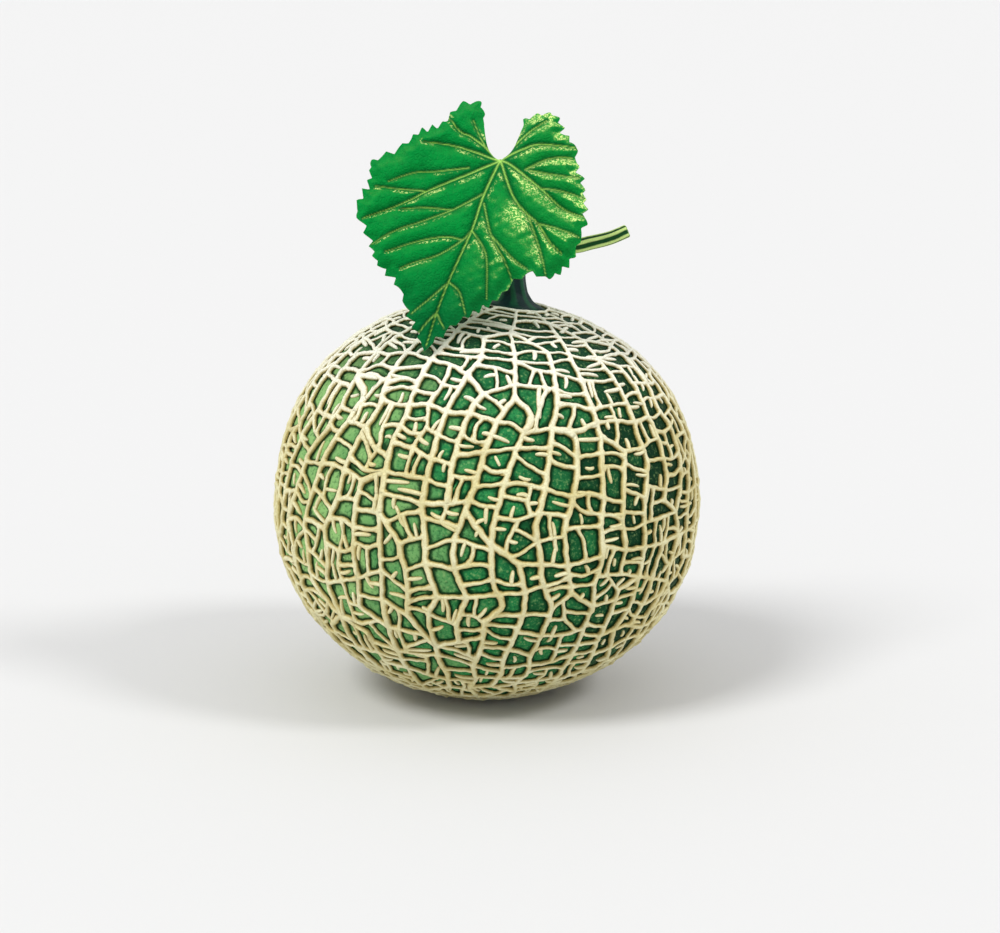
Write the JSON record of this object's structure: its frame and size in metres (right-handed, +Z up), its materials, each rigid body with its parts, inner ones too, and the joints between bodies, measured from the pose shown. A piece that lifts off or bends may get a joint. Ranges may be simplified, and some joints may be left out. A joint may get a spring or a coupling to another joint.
{
  "type": "muskmelon",
  "caption": "Whole netted muskmelon as picked, standing on a small flat spot, with its stalk, a short piece of ribbed vine and a toothed leaf that hangs in front.",
  "frame": {"origin": "middle of the flat spot that the fruit rests on", "axes": "+Z up through the fruit; -Y towards the side that the leaf hangs on; +X towards the cut end of the vine, the way the stalk end leans"},
  "size_m": [0.1502, 0.1503, 0.2078],
  "materials": {
    "rind": "waxy green skin, finely mottled, darker along the raised net",
    "cork": "dry cream cork, rough, cracked along its crests",
    "vine": "fibrous green stem, yellow-green ribs between dark grooves",
    "leaf": "satin green leaf, pebbled, with paler sunken veins"
  },
  "bodies": {
    "root": {"fruit": "rind", "net": "cork", "stem": "vine", "leaf": "leaf"}
  },
  "joints": []
}
